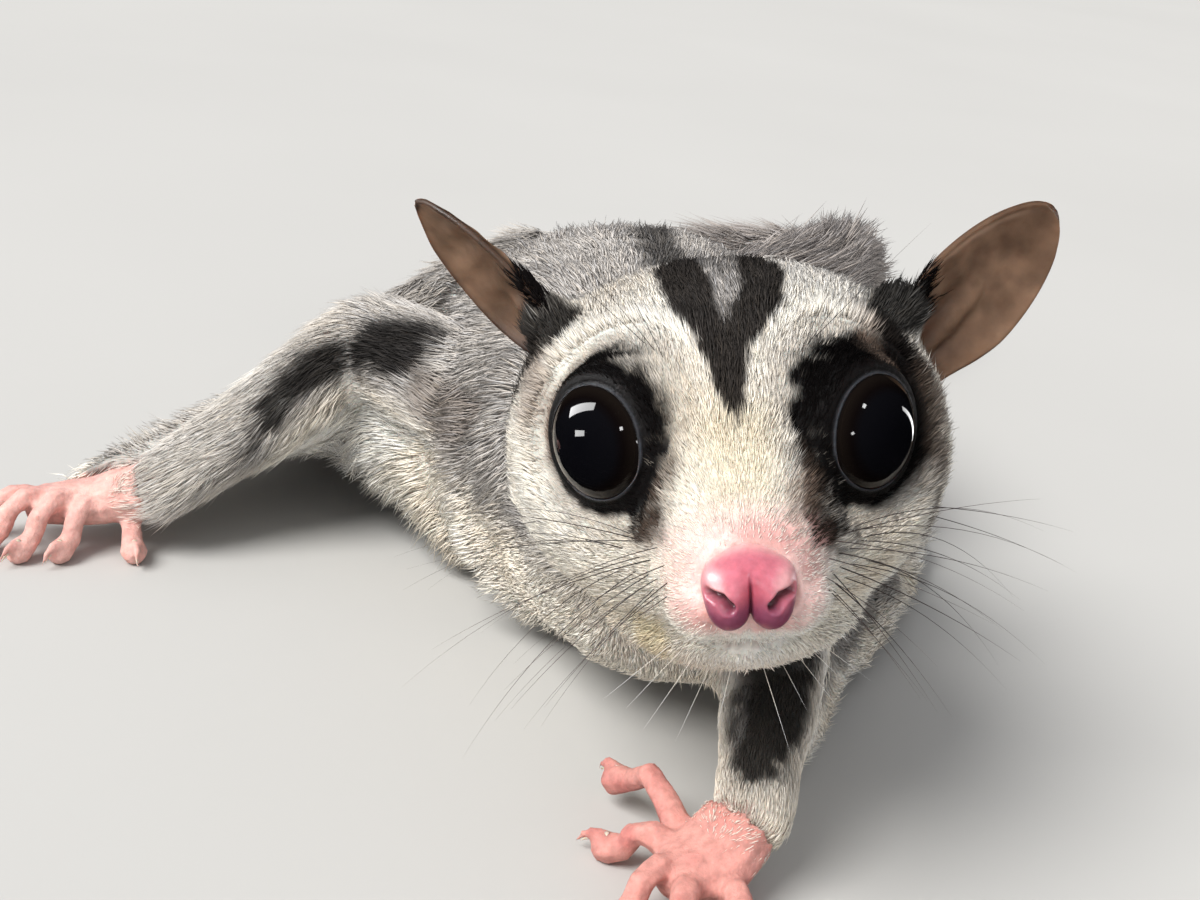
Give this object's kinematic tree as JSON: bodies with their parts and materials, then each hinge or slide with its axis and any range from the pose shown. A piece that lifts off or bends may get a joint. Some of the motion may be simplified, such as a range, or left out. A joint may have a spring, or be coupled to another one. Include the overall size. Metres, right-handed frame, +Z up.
{
  "type": "sugar glider",
  "caption": "Still life-size sugar glider crouching flat with its head raised, an arm reaching out to the side and its tail curled round behind.",
  "frame": {"origin": "on the floor, under the middle of the whole animal's length and width", "axes": "-Y is the way the animal faces, +X is its left side, +Z is up"},
  "size_m": [0.1036, 0.183, 0.0521],
  "materials": {
    "eye": "wet, mirror-smooth black",
    "nose_pad": "bare moist pink skin",
    "pale_coat": "short soft cream and white fur",
    "grey_coat": "soft silver-grey fur with darker patches",
    "ear_skin": "thin bare brown skin",
    "paw_skin": "bare pink skin with pale claws"
  },
  "bodies": {
    "root": {"eye_left": "eye", "eye_right": "eye", "nose": "nose_pad", "head": "pale_coat", "ear_left": "ear_skin", "ear_right": "ear_skin", "neck": "pale_coat", "torso": "grey_coat", "upper_arm_right": "grey_coat", "forearm_right": "pale_coat", "hand_right": "paw_skin", "upper_arm_left": "grey_coat", "forearm_left": "pale_coat", "hand_left": "paw_skin", "thigh_right": "grey_coat", "shank_right": "grey_coat", "foot_right": "paw_skin", "thigh_left": "grey_coat", "shank_left": "grey_coat", "foot_left": "paw_skin", "patagium_right": "pale_coat", "patagium_left": "pale_coat", "tail_1": "grey_coat", "tail_2": "grey_coat", "tail_3": "grey_coat", "tail_4": "grey_coat"}
  },
  "joints": []
}
